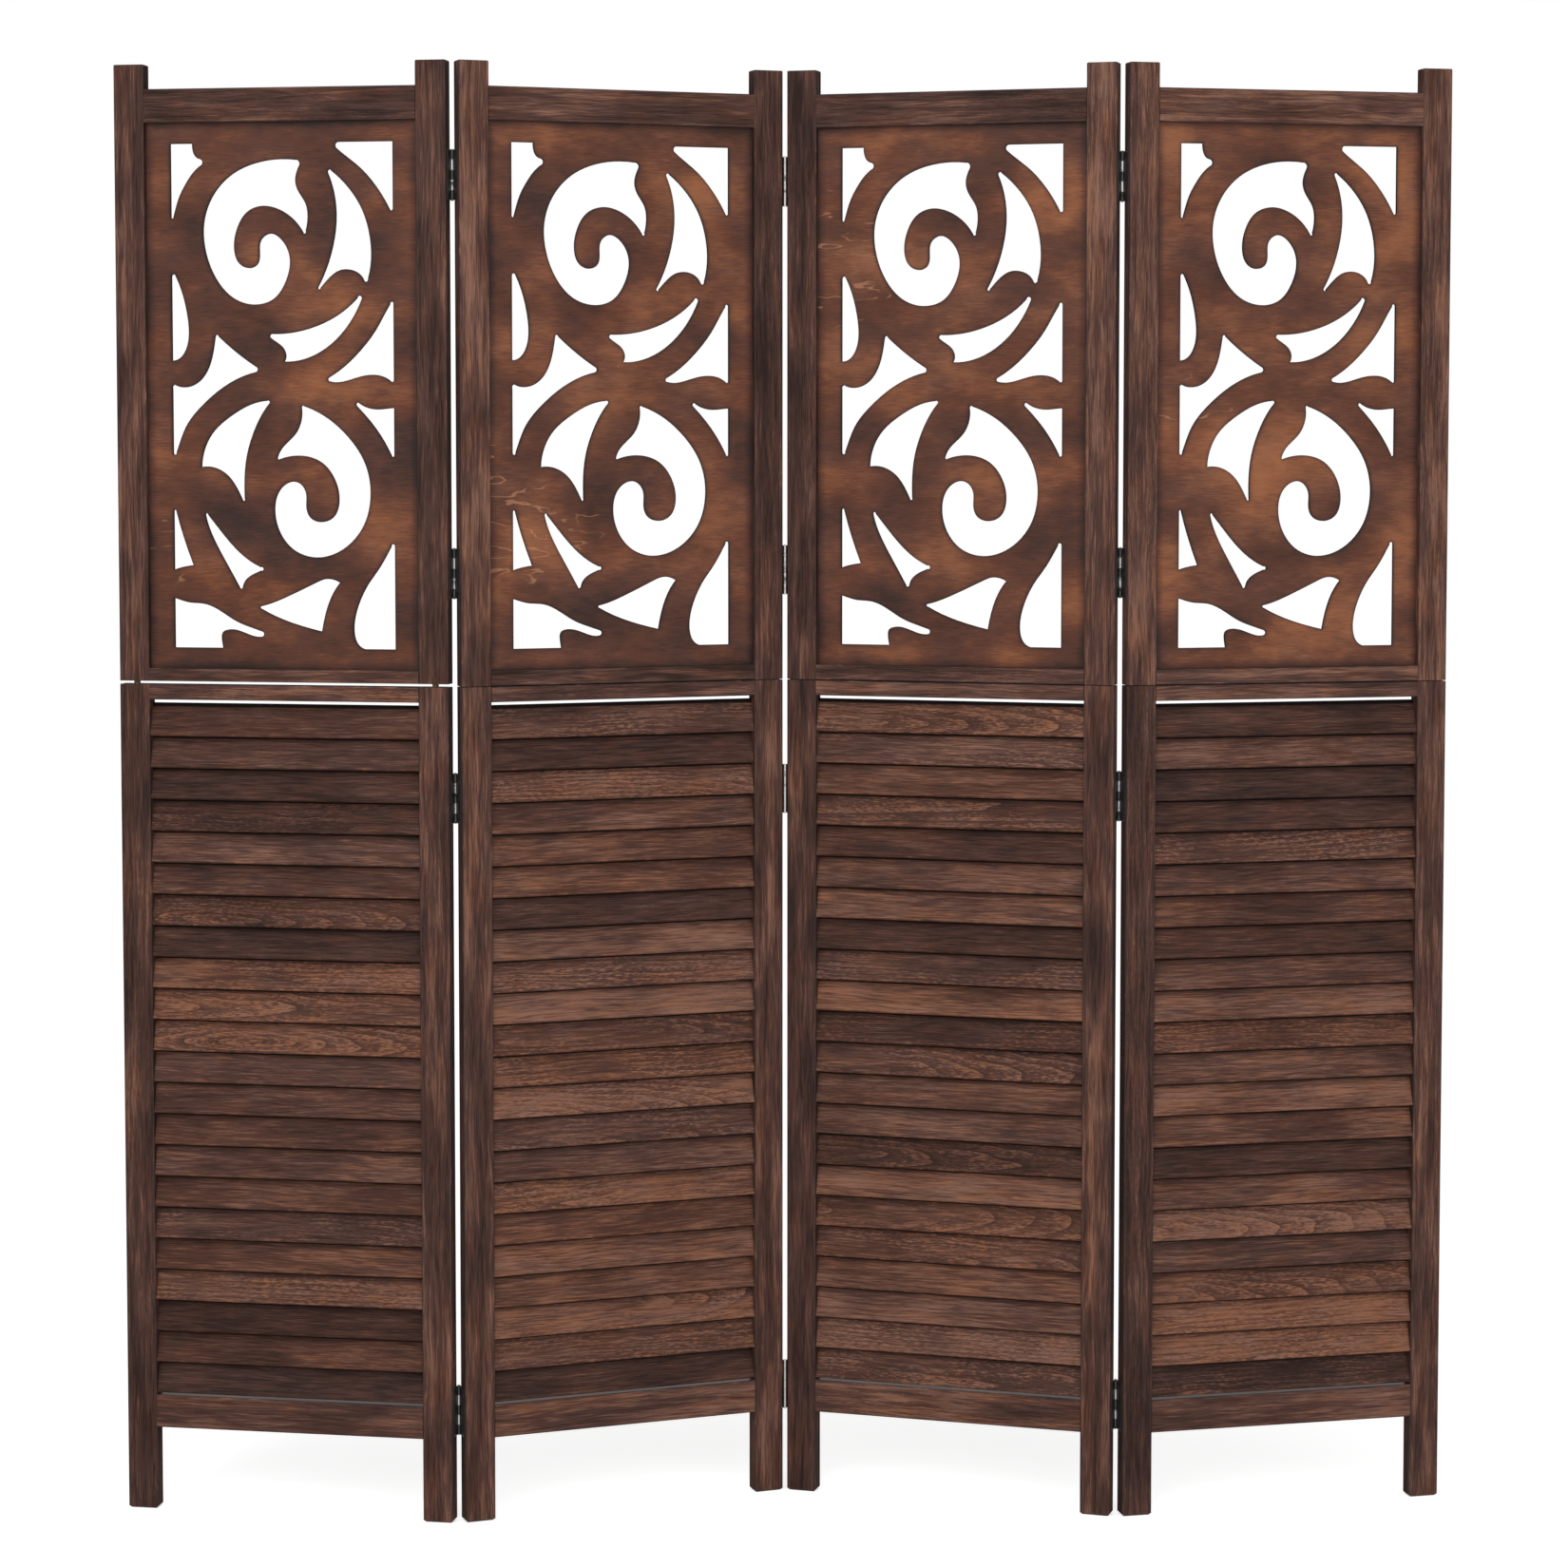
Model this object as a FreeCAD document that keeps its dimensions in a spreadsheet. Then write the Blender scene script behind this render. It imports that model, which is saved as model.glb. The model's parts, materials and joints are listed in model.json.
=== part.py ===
import FreeCAD, Part
import functools
import os

# Folding screen of four hinged panels. Each panel is a lower louvred frame with feet and an upper frame
# with a scroll-cut plywood sheet, stacked on pegs. A panel is drawn flat in its own frame: x across from
# its left edge, y back from its front face, z up from the floor. The finished pieces are then stood in the
# zigzag of the open screen.

V = FreeCAD.Vector
UP = V(0, 0, 1)
PANELS = (1, 2, 3, 4)

os.makedirs("parts", exist_ok=True)
doc = FreeCAD.newDocument("folding_screen")

# Driving sizes in millimetres and degrees
sheet = doc.addObject("Spreadsheet::Sheet", "sizes")
driving = {
    "panel_width": 396.8,
    "total_height": 1700,
    "lower_height": 980.5,
    "frame_depth": 20,
    "stile_width": 36,
    "heavy_rail": 39,
    "light_rail": 18,
    "horn_height": 28.5,
    "foot_height": 98.5,
    "seam_gap": 1,
    "loose_seam_gap": 3.8,
    "edge_round": 1.2,
    "foot_chamfer": 3,
    "tenon_length": 12,
    "tenon_thickness": 8,
    "tenon_shoulder": 3,
    "joint_slack": 0.1,
    "sheet_thickness": 4,
    "sheet_tongue": 5.5,
    "tongue_slack": 0.3,
    "fret_side_margin": 29.1,
    "fret_end_margin": 24,
    "slat_count": 22,
    "slat_width": 40,
    "slat_thickness": 6,
    "slat_tilt": 17.5,
    "slat_tongue": 6,
    "slat_round": 1.2,
    "slat_top_gap": 3.7,
    "slat_bottom_gap": 1.2,
    "peg_diameter": 7.5,
    "peg_depth": 25,
    "hinge_inset": 130,
    "hinge_length": 58,
    "hinge_gap": 4,
    "axis_stand_off": 1.5,
    "barrel_diameter": 3.8,
    "leaf_thickness": 1.2,
    "leaf_edge": 5,
    "knuckle_count": 5,
    "knuckle_gap": 0.4,
    "pin_diameter": 2,
    "pin_tip": 1,
    "pin_slack": 0.05,
    "screw_diameter": 3,
    "screw_head": 5.4,
    "screw_length": 15,
    "screw_spacing": 19,
    "turn_1": -9.9,
    "turn_2": 20.9,
    "turn_3": -16.9,
    "turn_4": 13.3,
}
for row, (alias, number) in enumerate(driving.items(), 1):
    sheet.set(f"A{row}", alias)
    sheet.set(f"B{row}", str(number))
    sheet.setAlias(f"B{row}", alias)
doc.recompute()


def size(alias):
    return float(sheet.get(alias))


# Heights and spans that several pieces share, as expressions on the sheet
TILT = "(sizes.slat_tilt * 1 deg)"
INSIDE = "(sizes.panel_width - 2 * sizes.stile_width)"
MID_DEPTH = "(sizes.frame_depth / 2)"
FOOT_RAIL_TOP = "(sizes.foot_height + sizes.heavy_rail)"
LOUVRE_TOP = "(sizes.lower_height - sizes.light_rail)"
SILL_TOP = "(sizes.lower_height + sizes.seam_gap + sizes.light_rail)"
HEAD_TOP = "(sizes.total_height - sizes.horn_height)"
HEAD_BOTTOM = f"({HEAD_TOP} - sizes.heavy_rail)"
HINGE_HEIGHTS = (
    "sizes.hinge_inset",
    "(sizes.lower_height - sizes.hinge_inset)",
    "(sizes.lower_height + sizes.seam_gap + sizes.hinge_inset)",
    "(sizes.total_height - sizes.hinge_inset)",
)


# Small makers for bound primitives and booleans
def bind(thing, **expressions):
    for path, expression in expressions.items():
        thing.setExpression(path.replace("__", "."), expression)
    return thing


def at(thing, x="0", y="0", z="0"):
    return bind(thing, Placement__Base__x=x, Placement__Base__y=y, Placement__Base__z=z)


def box(name, x, y, z, length, width, height):
    block = doc.addObject("Part::Box", name)
    return at(bind(block, Length=length, Width=width, Height=height), x, y, z)


def rod(name, axis, radius, height, x="0", y="0", z="0"):
    cylinder = doc.addObject("Part::Cylinder", name)
    cylinder.Placement.Rotation = FreeCAD.Rotation(UP, axis)
    return at(bind(cylinder, Radius=radius, Height=height), x, y, z)


def cone(name, axis, radius_1, radius_2, height, x="0"):
    frustum = doc.addObject("Part::Cone", name)
    frustum.Placement.Rotation = FreeCAD.Rotation(UP, axis)
    return at(bind(frustum, Radius1=radius_1, Radius2=radius_2, Height=height), x)


def cut(name, base, tool):
    result = doc.addObject("Part::Cut", name)
    result.Base = base
    result.Tool = tool
    return result


def fuse(name, shapes):
    result = doc.addObject("Part::MultiFuse", name)
    result.Shapes = shapes
    return result


def group(name, members):
    result = doc.addObject("Part::Compound", name)
    result.Links = members
    return result


def dressed(kind, name, base, chosen, amount):
    # Fillet or chamfer on the edges of the base that the test chooses
    doc.recompute()
    result = doc.addObject(kind, name)
    result.Base = base
    edges = enumerate(base.Shape.Edges, 1)
    result.Edges = [(index, amount, amount) for index, edge in edges if chosen(edge)]
    return result


def runs_along(direction):
    def chosen(edge):
        ends = edge.Vertexes[1].Point - edge.Vertexes[0].Point
        return ends.cross(direction).Length < 1e-6
    return chosen


def lies_at_height(height):
    def chosen(edge):
        return all(abs(vertex.Z - height) < 1e-6 for vertex in edge.Vertexes)
    return chosen


# Rails, each with a stub tenon on both ends. The tenon bar runs right through the rail, and a slightly
# larger bar cuts the mortises of both stiles.
def tenon_bar(name, bottom, height, slack):
    return box(
        name,
        f"sizes.stile_width - sizes.tenon_length - {slack}",
        f"{MID_DEPTH} - sizes.tenon_thickness / 2 - {slack}",
        f"{bottom} + sizes.tenon_shoulder - {slack}",
        f"{INSIDE} + 2 * sizes.tenon_length + 2 * {slack}",
        f"sizes.tenon_thickness + 2 * {slack}",
        f"{height} - 2 * sizes.tenon_shoulder + 2 * {slack}",
    )


def rail(name, bottom, height, face_bottom=None, face_height=None):
    face = box(
        f"{name}_face", "sizes.stile_width", "0", face_bottom or bottom,
        INSIDE, "sizes.frame_depth", face_height or height,
    )
    eased = dressed("Part::Fillet", f"{name}_eased", face, runs_along(V(1, 0, 0)), size("edge_round"))
    return fuse(name, [eased, tenon_bar(f"{name}_tenons", bottom, height, "0")])


foot_rail = rail("foot_rail", "sizes.foot_height", "sizes.heavy_rail")
louvre_head = rail("louvre_head", LOUVRE_TOP, "sizes.light_rail")
lower_mortises = group("lower_mortises", [
    tenon_bar("foot_mortise", "sizes.foot_height", "sizes.heavy_rail", "sizes.joint_slack"),
    tenon_bar("louvre_head_mortise", LOUVRE_TOP, "sizes.light_rail", "sizes.joint_slack"),
])

# The groove for the plywood runs round the inside of the upper frame, and the sheet stands on its bottom
groove = box(
    "groove",
    "sizes.stile_width - sizes.sheet_tongue - sizes.tongue_slack",
    f"{MID_DEPTH} - sizes.sheet_thickness / 2 - sizes.joint_slack",
    f"{SILL_TOP} - sizes.sheet_tongue - sizes.tongue_slack",
    f"{INSIDE} + 2 * sizes.sheet_tongue + 2 * sizes.tongue_slack",
    "sizes.sheet_thickness + 2 * sizes.joint_slack",
    f"{HEAD_BOTTOM} - {SILL_TOP} + 2 * sizes.sheet_tongue + 2 * sizes.tongue_slack",
)
upper_housing = fuse("upper_housing", [
    groove,
    tenon_bar("head_mortise", HEAD_BOTTOM, "sizes.heavy_rail", "sizes.joint_slack"),
    tenon_bar("sill_mortise", f"({SILL_TOP} - sizes.light_rail)", "sizes.light_rail", "sizes.joint_slack"),
])
head_rail = cut("head_rail", rail("head_timber", HEAD_BOTTOM, "sizes.heavy_rail"), groove)


@functools.lru_cache(None)
def sill_rail(seam):
    # The sill's underside stops at the seam, so a wider seam leaves a thinner rail
    bottom = f"(sizes.lower_height + {seam})"
    name = seam.replace("sizes.", "sill_")
    tenons_bottom = f"({SILL_TOP} - sizes.light_rail)"
    timber = rail(f"{name}_timber", tenons_bottom, "sizes.light_rail", bottom, f"{SILL_TOP} - {bottom}")
    return cut(name, timber, groove)


# Louvre slats: one eased slat, leaning back at the top, repeated up the opening. A slightly larger bar cuts
# the slanted slots of both stiles.
SLAT_RISE = f"(sizes.slat_width * cos({TILT}) + sizes.slat_thickness * sin({TILT}))"
SLAT_REACH = f"(sizes.slat_width * sin({TILT}) + sizes.slat_thickness * cos({TILT}))"
LOUVRE_SPAN = f"({LOUVRE_TOP} - {FOOT_RAIL_TOP} - sizes.slat_bottom_gap - sizes.slat_top_gap)"
SLAT_PITCH = f"(({LOUVRE_SPAN} - {SLAT_RISE}) / (sizes.slat_count - 1))"
SLAT_FRONT = f"(({MID_DEPTH} - {SLAT_REACH} / 2))"
SLAT_FOOT = f"({FOOT_RAIL_TOP} + sizes.slat_bottom_gap + sizes.slat_thickness * sin({TILT}))"


def slat_bar(name, side_slack, end_slack):
    bar = box(
        name,
        f"sizes.stile_width - sizes.slat_tongue - {end_slack}",
        f"{SLAT_FRONT} - {side_slack} * (cos({TILT}) + sin({TILT}))",
        f"{SLAT_FOOT} + {side_slack} * (sin({TILT}) - cos({TILT}))",
        f"{INSIDE} + 2 * sizes.slat_tongue + 2 * {end_slack}",
        f"sizes.slat_thickness + 2 * {side_slack}",
        f"sizes.slat_width + 2 * {side_slack}",
    )
    bar.Placement.Rotation = FreeCAD.Rotation(V(-1, 0, 0), size("slat_tilt"))
    return bind(bar, Placement__Rotation__Angle=TILT)


def up_the_louvre(name, bar):
    steps = range(int(size("slat_count")))
    return group(name, [at(group(f"{name}_{step}", [bar]), z=f"{step} * {SLAT_PITCH}") for step in steps])


plain_slat = slat_bar("plain_slat", "0", "0")
eased_slat = dressed("Part::Fillet", "eased_slat", plain_slat, runs_along(V(1, 0, 0)), size("slat_round"))
slats = up_the_louvre("slats", eased_slat)
slots = up_the_louvre("slots", slat_bar("slot", "sizes.joint_slack", "sizes.tongue_slack"))

# Pegs stand in the stile ends and carry the upper frame on their tops
PEG_SPOTS = ("(sizes.stile_width / 2)", "(sizes.panel_width - sizes.stile_width / 2)")


@functools.lru_cache(None)
def pegs(seam, slack):
    name = f"pegs_{seam}_{slack}".replace("sizes.", "")
    bottom = "sizes.lower_height - sizes.peg_depth"
    length = f"2 * sizes.peg_depth + {seam}"
    radius = f"sizes.peg_diameter / 2 + {slack}"
    return group(name, [
        rod(f"{name}_{n}", UP, radius, length, x, MID_DEPTH, bottom) for n, x in enumerate(PEG_SPOTS)
    ])


# Pilot holes for the hinge screws in the outer edge of a stile
def pilot_holes(side):
    depth = "sizes.screw_length - sizes.leaf_thickness + sizes.tongue_slack"
    start = "0" if side == "left" else "sizes.panel_width"
    inward = V(1, 0, 0) if side == "left" else V(-1, 0, 0)
    radius = "sizes.screw_diameter / 2 + sizes.pin_slack"
    heights = [f"{height} + {step} * sizes.screw_spacing" for height in HINGE_HEIGHTS for step in (-1, 0, 1)]
    return group(f"{side}_pilots", [
        rod(f"{side}_pilot", inward, radius, depth, start, MID_DEPTH, height) for height in heights
    ])


pilots = {side: pilot_holes(side) for side in ("left", "right")}


# Stiles
def timber(name, side, bottom, height, end, chamfer):
    # One end is chamfered all round, then the long edges are eased
    x = "0" if side == "left" else "sizes.panel_width - sizes.stile_width"
    plain = box(f"{name}_plain", x, "0", bottom, "sizes.stile_width", "sizes.frame_depth", height)
    ended = dressed("Part::Chamfer", f"{name}_ended", plain, lies_at_height(end), chamfer)
    return dressed("Part::Fillet", f"{name}_eased", ended, runs_along(UP), size("edge_round"))


@functools.lru_cache(None)
def lower_stile(side, hinged):
    name = f"lower_{side}_{'hinged' if hinged else 'outer'}"
    bar = timber(name, side, "0", "sizes.lower_height", 0, size("foot_chamfer"))
    slotted = cut(f"{name}_slotted", bar, slots)
    mortised = cut(f"{name}_mortised", slotted, lower_mortises)
    bored = cut(f"{name}_bored", mortised, pegs("sizes.seam_gap", "sizes.joint_slack"))
    return cut(name, bored, pilots[side]) if hinged else bored


@functools.lru_cache(None)
def upper_stile(side, hinged, seam):
    name = f"upper_{side}_{'hinged' if hinged else 'outer'}_{seam}".replace("sizes.", "")
    bottom = f"(sizes.lower_height + {seam})"
    height = f"sizes.total_height - {bottom}"
    bar = timber(name, side, bottom, height, size("total_height"), size("edge_round"))
    housed = cut(f"{name}_housed", bar, upper_housing)
    bored = cut(f"{name}_bored", housed, pegs(seam, "sizes.joint_slack"))
    return cut(name, bored, pilots[side]) if hinged else bored


# Scroll-cut plywood. Each cut-out is a start point and a chain of strokes back to it: a stroke of one point
# is a straight line, of two points an arc through the first, and of more a smooth curve through all. They
# are drawn on a field 266 wide and 585 high and stretched to the field that the margins leave.
DRAWN_WIDTH = 266
DRAWN_HEIGHT = 585
cut_outs = {
    "top_left_corner": [
        (0, 585),
        [(26.5, 585)],
        [(27.5, 576), (31, 569.5), (36, 567)],
        [(38.7, 564), (36, 559.5)],
        [(26, 550), (17.5, 537.5), (12, 527.5), (6.5, 512.5), (3.2, 500.5)],
        [(1.6, 498.8), (0, 500.5)],
        [(0, 585)],
    ],
    "upper_scroll": [
        (155, 559),
        [(154.5, 563), (150, 565)],
        [(134.5, 566), (105, 562.5), (75, 550), (51, 525.5), (39.5, 494), (41, 461.5), (53, 430),
         (74.5, 406.5), (100, 399), (122.5, 405), (138, 426), (143, 449), (136.5, 469), (118, 480.3),
         (108, 473), (106.3, 455), (103.5, 445.5), (94, 441), (82, 446.5), (76, 464), (79.5, 486),
         (93, 506.5), (111.5, 512.7), (130, 508.5), (147, 497), (158.5, 482)],
        [(160, 480.3), (162, 483.5)],
        [(164.5, 500), (162, 515), (153.5, 529), (150, 541.5), (151.3, 550), (155, 559)],
    ],
    "upper_blade": [
        (188.5, 550),
        [(189.7, 553.3), (193, 552)],
        [(212, 534), (229, 508), (238, 478.5), (239.7, 449), (236, 428)],
        [(233.5, 424.4), (230.5, 427)],
        [(219, 437.3), (203, 438), (189, 428.5), (179.5, 418)],
        [(176.8, 416.2), (176.2, 419)],
        [(184.5, 436), (194.5, 467.5), (198.4, 497), (195.5, 528.5), (188.5, 550)],
    ],
    "top_right_corner": [
        (201, 585),
        [(266, 585)],
        [(266, 508)],
        [(263.8, 505.9), (261.8, 507.3)],
        [(246.5, 533), (225, 557.2), (202.5, 575), (198.5, 578.5)],
        [(197.6, 582.3), (201, 585)],
    ],
    "left_drop": [
        (0, 432),
        [(2.2, 434.4), (5, 432.5)],
        [(12, 415.5), (19, 386), (20.6, 367), (17.5, 349), (9, 337), (0, 334.5)],
        [(0, 432)],
    ],
    "left_arrow": [
        (0, 302),
        [(1.5, 306), (5, 305.3)],
        [(16, 303.3), (31.5, 309.5), (44.5, 328), (50.5, 352), (52, 362)],
        [(53.5, 364), (56.5, 362)],
        [(82, 340.3), (101, 327)],
        [(103.2, 323.5), (101, 321)],
        [(82.5, 315), (56.5, 300), (34.5, 281), (17, 259.5), (9, 241.5), (4.3, 228)],
        [(1.9, 225), (0, 227.5)],
        [(0, 302)],
    ],
    "middle_leaf": [
        (118, 361),
        [(118.5, 364), (121.5, 364.7)],
        [(138, 365.3), (166, 371), (199, 386), (222.5, 405.5)],
        [(227, 408), (228.3, 404.5)],
        [(216, 380.5), (194.5, 355.5), (169.5, 339.5), (135, 333)],
        [(136.8, 341.5), (133, 349.5), (122.5, 357.5), (118, 361)],
    ],
    "right_triangle": [
        (261.5, 398.5),
        [(264, 401.3), (266, 399)],
        [(266, 310.5)],
        [(264.6, 309.2), (262, 310)],
        [(247, 317), (228, 316), (206.5, 310), (188.5, 310.2)],
        [(187, 312), (188.5, 314.5)],
        [(206, 326.5), (226, 345.5), (243.5, 367.5), (256.5, 390), (261.5, 398.5)],
    ],
    "lower_blade": [
        (117.5, 285.5),
        [(116.7, 287.3), (113.5, 287.5)],
        [(97.5, 284.4), (69.5, 269.6), (47.5, 250), (37, 229), (34.2, 210.7)],
        [(44, 211.3), (53, 209), (66, 200.5), (76, 187), (83, 173)],
        [(85.2, 171.3), (86.2, 174)],
        [(86, 190), (89, 223), (97.5, 251), (111, 277), (117.5, 285.5)],
    ],
    "lower_scroll": [
        (155, 279.5),
        [(156, 281.7), (159, 281)],
        [(184.5, 268.7), (212, 244.6), (229, 219.6), (236.8, 192), (237, 173.5), (231, 148), (215, 124.6),
         (192, 109.8), (168.5, 106.3), (143.7, 115.3), (128, 134.8), (122, 160.7), (127, 182), (140, 193),
         (151, 192.7), (160, 181), (160.3, 165), (164.5, 153), (176, 147.2), (192.5, 153), (199.3, 171.5),
         (194.5, 196), (179, 216), (156.5, 224), (138, 222.8), (129, 220.2)],
        [(126.3, 219.9), (125.9, 222.3)],
        [(133.5, 235.3), (147.5, 249.3), (154.3, 264), (155, 279.5)],
    ],
    "small_right_triangle": [
        (220.8, 282),
        [(221.3, 284.8), (224, 285)],
        [(232.5, 280), (246, 277.3), (258.5, 278.3), (266, 279)],
        [(266, 225)],
        [(264.4, 222.9), (262, 225)],
        [(253, 241.8), (243.5, 256), (232.5, 269.5), (220.8, 282)],
    ],
    "left_sliver": [
        (0, 159),
        [(1.6, 160.8), (3.3, 159)],
        [(8.5, 140), (14, 122.7), (23.5, 96.5)],
        [(14, 95), (7.5, 93.5), (0, 91)],
        [(0, 159)],
    ],
    "thorn": [
        (38.3, 154.5),
        [(39.5, 156.8), (42, 154.8)],
        [(62, 130), (84.5, 107), (105, 94.3)],
        [(108.2, 92.4), (105, 90.5)],
        [(95.5, 86.3), (88.5, 81.5), (83, 71.5)],
        [(80.8, 69.2), (78.3, 71.5)],
        [(64, 97), (54.8, 113.5), (46.5, 130), (38.3, 154.5)],
    ],
    "bottom_left_tail": [
        (0, 58),
        [(9, 55), (18, 52.7), (36, 51.2), (54, 44), (75, 31), (97.5, 22.3), (105.5, 19.5)],
        [(108.2, 16.2), (105, 13.5)],
        [(84.5, 17.7), (66, 21.6), (58.5, 18.5), (57, 10), (58.5, 0)],
        [(0, 0)],
        [(0, 58)],
    ],
    "bottom_fan": [
        (105, 48.8),
        [(138, 61), (170.5, 76.4), (183, 81), (195, 79.5), (200, 77)],
        [(190, 61.6), (183, 43), (178, 20)],
        [(147.5, 28), (119.5, 38.5), (105, 46)],
        [(103.4, 47.5), (105, 48.8)],
    ],
    "right_drop": [
        (261.3, 119),
        [(264, 122), (266, 119.5)],
        [(266, 0)],
        [(229, 0)],
        [(220.5, 6), (216.3, 20), (217.5, 36.5), (222.5, 53.5), (235.5, 78.3), (245.5, 92), (255, 107.5),
         (261.3, 119)],
    ],
}


def stroke_edge(points):
    if len(points) == 2:
        return Part.makeLine(*points)
    if len(points) == 3:
        return Part.Arc(*points).toShape()
    curve = Part.BSplineCurve()
    curve.interpolate(points)
    return curve.toShape()


def cut_out_shapes():
    left = size("stile_width") + size("fret_side_margin")
    sill_top = size("lower_height") + size("seam_gap") + size("light_rail")
    head_bottom = size("total_height") - size("horn_height") - size("heavy_rail")
    bottom = sill_top + size("fret_end_margin")
    wide = size("panel_width") - 2 * left
    high = head_bottom - size("fret_end_margin") - bottom

    def placed(point):
        return V(left + point[0] * wide / DRAWN_WIDTH, 0, bottom + point[1] * high / DRAWN_HEIGHT)

    for start, *strokes in cut_outs.values():
        edges = []
        here = start
        for stroke in strokes:
            edges.append(stroke_edge([placed(point) for point in (here, *stroke)]))
            here = stroke[-1]
        yield Part.Face(Part.Wire(edges)).extrude(V(0, size("frame_depth"), 0))


fret_tools = doc.addObject("Part::Feature", "fret_tools")
fret_tools.Shape = Part.makeCompound(list(cut_out_shapes()))
plywood = box(
    "plywood",
    "sizes.stile_width - sizes.sheet_tongue",
    f"{MID_DEPTH} - sizes.sheet_thickness / 2",
    f"{SILL_TOP} - sizes.sheet_tongue - sizes.tongue_slack",
    f"{INSIDE} + 2 * sizes.sheet_tongue",
    "sizes.sheet_thickness",
    f"{HEAD_BOTTOM} - {SILL_TOP} + 2 * sizes.sheet_tongue + sizes.tongue_slack",
)
fretwork = cut("fretwork", plywood, fret_tools)

# Butt hinges, drawn about the pin with the timber behind it. The left leaf has the odd knuckles and the
# right leaf the even ones.
LEAF_REACH = f"({MID_DEPTH} + sizes.axis_stand_off + sizes.leaf_edge)"
SCREW_LINE = f"({MID_DEPTH} + sizes.axis_stand_off)"
KNUCKLE_GAPS = "(sizes.knuckle_count - 1) * sizes.knuckle_gap"
KNUCKLE = f"((sizes.hinge_length - {KNUCKLE_GAPS}) / sizes.knuckle_count)"
PLATE_IN = "(sizes.hinge_gap / 2 - sizes.leaf_thickness)"


def knuckles(name, first, radius, extra):
    # Every second knuckle from the first, grown by an extra radius and the same extra at each end
    return [
        rod(
            f"{name}_knuckle", UP, f"{radius} + {extra}", f"{KNUCKLE} + 2 * {extra}",
            z=f"-sizes.hinge_length / 2 + {n} * ({KNUCKLE} + sizes.knuckle_gap) - {extra}",
        )
        for n in range(first, int(size("knuckle_count")), 2)
    ]


def hinge_leaf(name, first, outward):
    half = "sizes.barrel_diameter / 2"
    plate_x = "-sizes.hinge_gap / 2" if outward.x < 0 else PLATE_IN
    plate = box(
        f"{name}_plate", plate_x, "0", "-sizes.hinge_length / 2",
        "sizes.leaf_thickness", LEAF_REACH, "sizes.hinge_length",
    )
    notches = group(f"{name}_notches", knuckles(name, 1 - first, half, "sizes.knuckle_gap"))
    notched = cut(f"{name}_notched", plate, notches)
    curled = fuse(f"{name}_curled", [notched, *knuckles(name, first, half, "0")])
    bore = rod(
        f"{name}_bore", UP, "sizes.pin_diameter / 2 + sizes.pin_slack",
        "2 * sizes.hinge_length", z="-sizes.hinge_length",
    )
    sink = cone(
        f"{name}_sink", outward, "sizes.screw_head / 2 + sizes.pin_slack",
        "sizes.screw_diameter / 2 + sizes.pin_slack", "sizes.leaf_thickness",
    )
    return cut(name, cut(f"{name}_bored", curled, bore), screw_row(f"{name}_sinks", sink, outward))


def screw_row(name, screw, outward):
    start = PLATE_IN if outward.x > 0 else f"-{PLATE_IN}"
    return group(name, [
        at(group(f"{name}_one", [screw]), start, SCREW_LINE, f"{step} * sizes.screw_spacing")
        for step in (-1, 0, 1)
    ])


def wood_screw(name, outward):
    sign = "-" if outward.x < 0 else ""
    radius = "sizes.screw_diameter / 2"
    shank = "(sizes.screw_length - sizes.leaf_thickness - sizes.screw_diameter)"
    head = cone(f"{name}_head", outward, "sizes.screw_head / 2", radius, "sizes.leaf_thickness")
    body = rod(f"{name}_shank", outward, radius, shank, f"{sign}sizes.leaf_thickness")
    point = cone(f"{name}_point", outward, radius, "0", "sizes.screw_diameter",
                 f"{sign}(sizes.leaf_thickness + {shank})")
    slot = box(
        f"{name}_slot", "-sizes.leaf_thickness / 2", "-sizes.screw_head", "-sizes.leaf_thickness / 4",
        "sizes.leaf_thickness", "2 * sizes.screw_head", "sizes.leaf_thickness / 2",
    )
    return cut(name, fuse(f"{name}_turned", [head, body, point]), slot)


def up_the_line(name, part):
    return group(name, [at(group(f"{name}_one", [part]), z=height) for height in HINGE_HEIGHTS])


LEFT = V(-1, 0, 0)
RIGHT = V(1, 0, 0)
leaves = {
    "left": up_the_line("left_leaves", hinge_leaf("left_leaf", 0, LEFT)),
    "right": up_the_line("right_leaves", hinge_leaf("right_leaf", 1, RIGHT)),
}
screws = {
    "left": up_the_line("left_screws", screw_row("left_row", wood_screw("left_screw", LEFT), LEFT)),
    "right": up_the_line("right_screws", screw_row("right_row", wood_screw("right_screw", RIGHT), RIGHT)),
}
pins = up_the_line("pins", rod(
    "pin", UP, "sizes.pin_diameter / 2", "sizes.hinge_length + 2 * sizes.pin_tip",
    z="-sizes.hinge_length / 2 - sizes.pin_tip",
))


# Stand of the open screen: each panel turned about the pin it shares with the one before. The pins lie
# behind the outer two hinge lines and in front of the middle one, so that the screen folds in a zigzag.
def pin_depth(line):
    return -size("axis_stand_off") if line == 2 else size("frame_depth") + size("axis_stand_off")


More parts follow.
